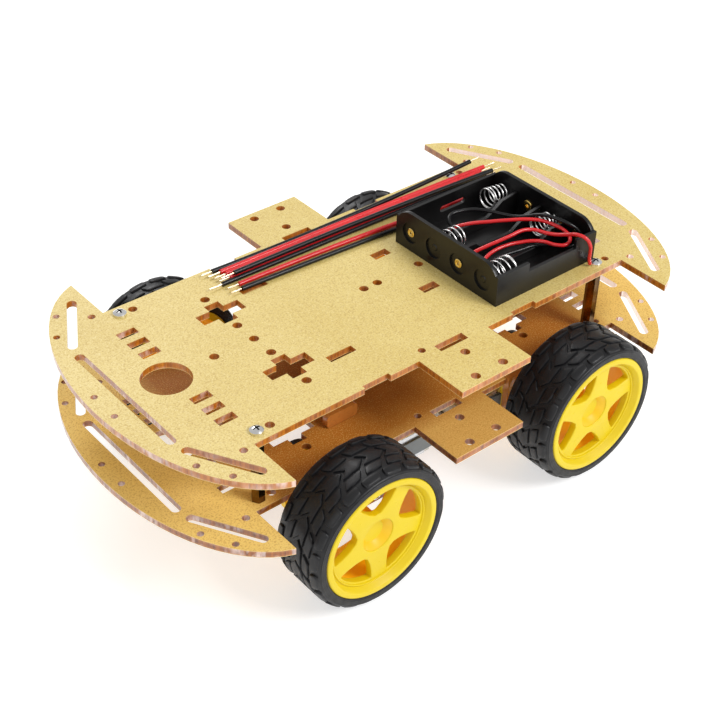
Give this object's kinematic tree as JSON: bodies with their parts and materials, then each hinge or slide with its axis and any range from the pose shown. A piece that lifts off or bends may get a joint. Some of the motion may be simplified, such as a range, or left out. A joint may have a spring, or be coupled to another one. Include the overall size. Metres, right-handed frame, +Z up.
{
  "type": "four wheel robot chassis",
  "caption": "Two-deck robot car chassis with geared motors, spoked wheels with rubber tyres, an open battery box and loose motor wires.",
  "frame": {"origin": "on the ground plane, under the middle of the overall box; the four tyres stand on z = 0", "axes": "+X towards the battery box end (rear), -X towards the end with the large round hole (front), +Z up, -Y the left side"},
  "size_m": [0.264, 0.1612, 0.0978],
  "materials": {
    "papered_acrylic": "3 mm clear acrylic still in its speckled tan protective paper, bare glossy amber cut edges",
    "bracket_acrylic": "amber acrylic, laser cut, glossy",
    "tyre_rubber": "matt black rubber",
    "yellow_rim": "moulded yellow plastic, satin",
    "yellow_case": "moulded yellow plastic, satin",
    "white_gear": "natural white nylon",
    "encoder_black": "black moulded plastic",
    "motor_steel": "bright plated steel",
    "screw_steel": "bright nickel plated steel",
    "pin_steel": "ground steel",
    "spacer_brass": "dark gold brass",
    "cap_nylon": "white nylon end cap",
    "strap_clear": "clear flexible plastic strap",
    "box_black": "black moulded plastic, satin",
    "spring_steel": "nickel plated spring wire",
    "contact_brass": "bright brass",
    "red_insulation": "red PVC insulation",
    "black_insulation": "black PVC insulation",
    "wire_insulation": "red and black PVC insulation with tinned copper ends"
  },
  "bodies": {
    "chassis": {"top_deck": "papered_acrylic", "bottom_deck": "papered_acrylic", "deck_spacers": "spacer_brass", "deck_screws": "screw_steel", "motor_brackets": "bracket_acrylic", "bracket_bolts": "screw_steel", "bracket_nuts": "screw_steel", "gearbox_inner_front_left": "yellow_case", "gearbox_outer_front_left": "yellow_case", "motor_can_front_left": "motor_steel", "gearbox_inner_front_right": "yellow_case", "gearbox_outer_front_right": "yellow_case", "motor_can_front_right": "motor_steel", "gearbox_inner_rear_left": "yellow_case", "gearbox_outer_rear_left": "yellow_case", "motor_can_rear_left": "motor_steel", "gearbox_inner_rear_right": "yellow_case", "gearbox_outer_rear_right": "yellow_case", "motor_can_rear_right": "motor_steel", "motor_end_caps": "cap_nylon", "motor_straps": "strap_clear", "gearbox_screws": "screw_steel", "gear_pins": "pin_steel", "battery_box": "box_black", "battery_springs": "spring_steel", "battery_contacts": "contact_brass", "battery_lead_red": "red_insulation", "battery_lead_black": "black_insulation", "motor_wires_1": "wire_insulation", "motor_wires_2": "wire_insulation", "motor_wires_3": "wire_insulation", "motor_wires_4": "wire_insulation"},
    "front_left_wheel": {"tyre_front_left": "tyre_rubber", "rim_front_left": "yellow_rim", "output_gear_front_left": "white_gear", "encoder_disc_front_left": "encoder_black"},
    "front_left_transfer": {"transfer_gear_front_left": "white_gear"},
    "front_left_crown": {"crown_gear_front_left": "white_gear"},
    "front_left_rotor": {"rotor_front_left": "pin_steel"},
    "front_right_wheel": {"tyre_front_right": "tyre_rubber", "rim_front_right": "yellow_rim", "output_gear_front_right": "white_gear", "encoder_disc_front_right": "encoder_black"},
    "front_right_transfer": {"transfer_gear_front_right": "white_gear"},
    "front_right_crown": {"crown_gear_front_right": "white_gear"},
    "front_right_rotor": {"rotor_front_right": "pin_steel"},
    "rear_left_wheel": {"tyre_rear_left": "tyre_rubber", "rim_rear_left": "yellow_rim", "output_gear_rear_left": "white_gear", "encoder_disc_rear_left": "encoder_black"},
    "rear_left_transfer": {"transfer_gear_rear_left": "white_gear"},
    "rear_left_crown": {"crown_gear_rear_left": "white_gear"},
    "rear_left_rotor": {"rotor_rear_left": "pin_steel"},
    "rear_right_wheel": {"tyre_rear_right": "tyre_rubber", "rim_rear_right": "yellow_rim", "output_gear_rear_right": "white_gear", "encoder_disc_rear_right": "encoder_black"},
    "rear_right_transfer": {"transfer_gear_rear_right": "white_gear"},
    "rear_right_crown": {"crown_gear_rear_right": "white_gear"},
    "rear_right_rotor": {"rotor_rear_right": "pin_steel"}
  },
  "joints": [
    {"name": "front_left_wheel_turn", "type": "hinge", "parent": "chassis", "child": "front_left_wheel", "pos_m": [-0.0595, -0.0396, 0.0325], "axis": [0, 1, 0], "continuous": true},
    {"name": "front_left_transfer_turn", "type": "hinge", "parent": "chassis", "child": "front_left_transfer", "pos_m": [-0.0495, -0.0396, 0.0325], "axis": [0, 1, 0], "continuous": true},
    {"name": "front_left_crown_turn", "type": "hinge", "parent": "chassis", "child": "front_left_crown", "pos_m": [-0.0415, -0.0396, 0.0325], "axis": [0, 1, 0], "continuous": true},
    {"name": "front_left_rotor_turn", "type": "hinge", "parent": "chassis", "child": "front_left_rotor", "pos_m": [-0.0295, -0.0396, 0.0325], "axis": [1, 0, 0], "continuous": true},
    {"name": "front_right_wheel_turn", "type": "hinge", "parent": "chassis", "child": "front_right_wheel", "pos_m": [-0.0595, 0.0396, 0.0325], "axis": [0, 1, 0], "continuous": true},
    {"name": "front_right_transfer_turn", "type": "hinge", "parent": "chassis", "child": "front_right_transfer", "pos_m": [-0.0495, 0.0396, 0.0325], "axis": [0, 1, 0], "continuous": true},
    {"name": "front_right_crown_turn", "type": "hinge", "parent": "chassis", "child": "front_right_crown", "pos_m": [-0.0415, 0.0396, 0.0325], "axis": [0, 1, 0], "continuous": true},
    {"name": "front_right_rotor_turn", "type": "hinge", "parent": "chassis", "child": "front_right_rotor", "pos_m": [-0.0295, 0.0396, 0.0325], "axis": [1, 0, 0], "continuous": true},
    {"name": "rear_left_wheel_turn", "type": "hinge", "parent": "chassis", "child": "rear_left_wheel", "pos_m": [0.0595, -0.0396, 0.0325], "axis": [0, 1, 0], "continuous": true},
    {"name": "rear_left_transfer_turn", "type": "hinge", "parent": "chassis", "child": "rear_left_transfer", "pos_m": [0.0495, -0.0396, 0.0325], "axis": [0, 1, 0], "continuous": true},
    {"name": "rear_left_crown_turn", "type": "hinge", "parent": "chassis", "child": "rear_left_crown", "pos_m": [0.0415, -0.0396, 0.0325], "axis": [0, 1, 0], "continuous": true},
    {"name": "rear_left_rotor_turn", "type": "hinge", "parent": "chassis", "child": "rear_left_rotor", "pos_m": [0.0295, -0.0396, 0.0325], "axis": [1, 0, 0], "continuous": true},
    {"name": "rear_right_wheel_turn", "type": "hinge", "parent": "chassis", "child": "rear_right_wheel", "pos_m": [0.0595, 0.0396, 0.0325], "axis": [0, 1, 0], "continuous": true},
    {"name": "rear_right_transfer_turn", "type": "hinge", "parent": "chassis", "child": "rear_right_transfer", "pos_m": [0.0495, 0.0396, 0.0325], "axis": [0, 1, 0], "continuous": true},
    {"name": "rear_right_crown_turn", "type": "hinge", "parent": "chassis", "child": "rear_right_crown", "pos_m": [0.0415, 0.0396, 0.0325], "axis": [0, 1, 0], "continuous": true},
    {"name": "rear_right_rotor_turn", "type": "hinge", "parent": "chassis", "child": "rear_right_rotor", "pos_m": [0.0295, 0.0396, 0.0325], "axis": [1, 0, 0], "continuous": true}
  ],
  "couplings": [
    {"joint": "front_left_transfer_turn", "follows": "front_left_wheel_turn", "ratio": -4},
    {"joint": "front_left_crown_turn", "follows": "front_left_wheel_turn", "ratio": 16},
    {"joint": "front_left_rotor_turn", "follows": "front_left_wheel_turn", "ratio": 48},
    {"joint": "front_right_transfer_turn", "follows": "front_right_wheel_turn", "ratio": -4},
    {"joint": "front_right_crown_turn", "follows": "front_right_wheel_turn", "ratio": 16},
    {"joint": "front_right_rotor_turn", "follows": "front_right_wheel_turn", "ratio": -48},
    {"joint": "rear_left_transfer_turn", "follows": "rear_left_wheel_turn", "ratio": -4},
    {"joint": "rear_left_crown_turn", "follows": "rear_left_wheel_turn", "ratio": 16},
    {"joint": "rear_left_rotor_turn", "follows": "rear_left_wheel_turn", "ratio": -48},
    {"joint": "rear_right_transfer_turn", "follows": "rear_right_wheel_turn", "ratio": -4},
    {"joint": "rear_right_crown_turn", "follows": "rear_right_wheel_turn", "ratio": 16},
    {"joint": "rear_right_rotor_turn", "follows": "rear_right_wheel_turn", "ratio": 48}
  ]
}
